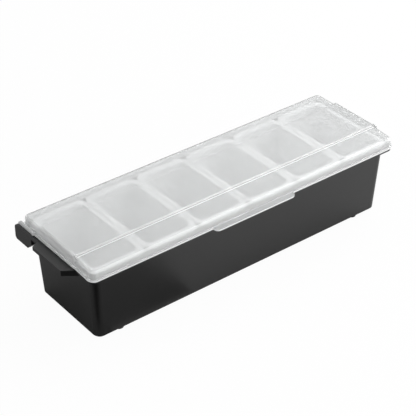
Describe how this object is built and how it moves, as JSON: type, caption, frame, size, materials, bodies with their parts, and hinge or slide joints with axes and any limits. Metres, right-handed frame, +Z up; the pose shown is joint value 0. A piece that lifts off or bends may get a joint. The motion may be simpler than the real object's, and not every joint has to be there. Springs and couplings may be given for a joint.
{
  "type": "condiment caddy",
  "caption": "Long bar-top condiment caddy: black tray with end handles, lift-out cups, and a clear flip lid in two hinged parts.",
  "frame": {"origin": "on the table under the middle of the whole caddy", "axes": "+X along the tray, +Z up, -Y is the front where the finger tab is"},
  "size_m": [0.503, 0.165, 0.117],
  "materials": {
    "tray_plastic": "matte moulded",
    "foot_rubber": "matte",
    "cup_plastic": "translucent, satin",
    "lid_plastic": "clear, glossy"
  },
  "bodies": {
    "base": {"base_tray": "tray_plastic", "foot_front_left": "foot_rubber", "foot_front_right": "foot_rubber", "foot_back_left": "foot_rubber", "foot_back_right": "foot_rubber"},
    "main_lid": {"main_lid": "lid_plastic"},
    "front_lid": {"front_lid": "lid_plastic"},
    "cup_1": {"cup_1": "cup_plastic"},
    "cup_2": {"cup_2": "cup_plastic"},
    "cup_3": {"cup_3": "cup_plastic"},
    "cup_4": {"cup_4": "cup_plastic"},
    "cup_5": {"cup_5": "cup_plastic"},
    "cup_6": {"cup_6": "cup_plastic"}
  },
  "joints": [
    {"name": "main_lid_hinge", "type": "hinge", "parent": "base", "child": "main_lid", "pos_m": [0, 0.073, 0.091], "axis": [-1, 0, 0], "range_deg": [0, 105]},
    {"name": "front_lid_hinge", "type": "hinge", "parent": "main_lid", "child": "front_lid", "pos_m": [0, -0.04, 0.1138], "axis": [-1, 0, 0], "range_deg": [0, 100]},
    {"name": "cup_1_lift", "type": "slide", "parent": "base", "child": "cup_1", "axis": [0, 0, 1], "range_m": [0, 0.004]},
    {"name": "cup_2_lift", "type": "slide", "parent": "base", "child": "cup_2", "axis": [0, 0, 1], "range_m": [0, 0.004]},
    {"name": "cup_3_lift", "type": "slide", "parent": "base", "child": "cup_3", "axis": [0, 0, 1], "range_m": [0, 0.004]},
    {"name": "cup_4_lift", "type": "slide", "parent": "base", "child": "cup_4", "axis": [0, 0, 1], "range_m": [0, 0.004]},
    {"name": "cup_5_lift", "type": "slide", "parent": "base", "child": "cup_5", "axis": [0, 0, 1], "range_m": [0, 0.004]},
    {"name": "cup_6_lift", "type": "slide", "parent": "base", "child": "cup_6", "axis": [0, 0, 1], "range_m": [0, 0.004]}
  ]
}
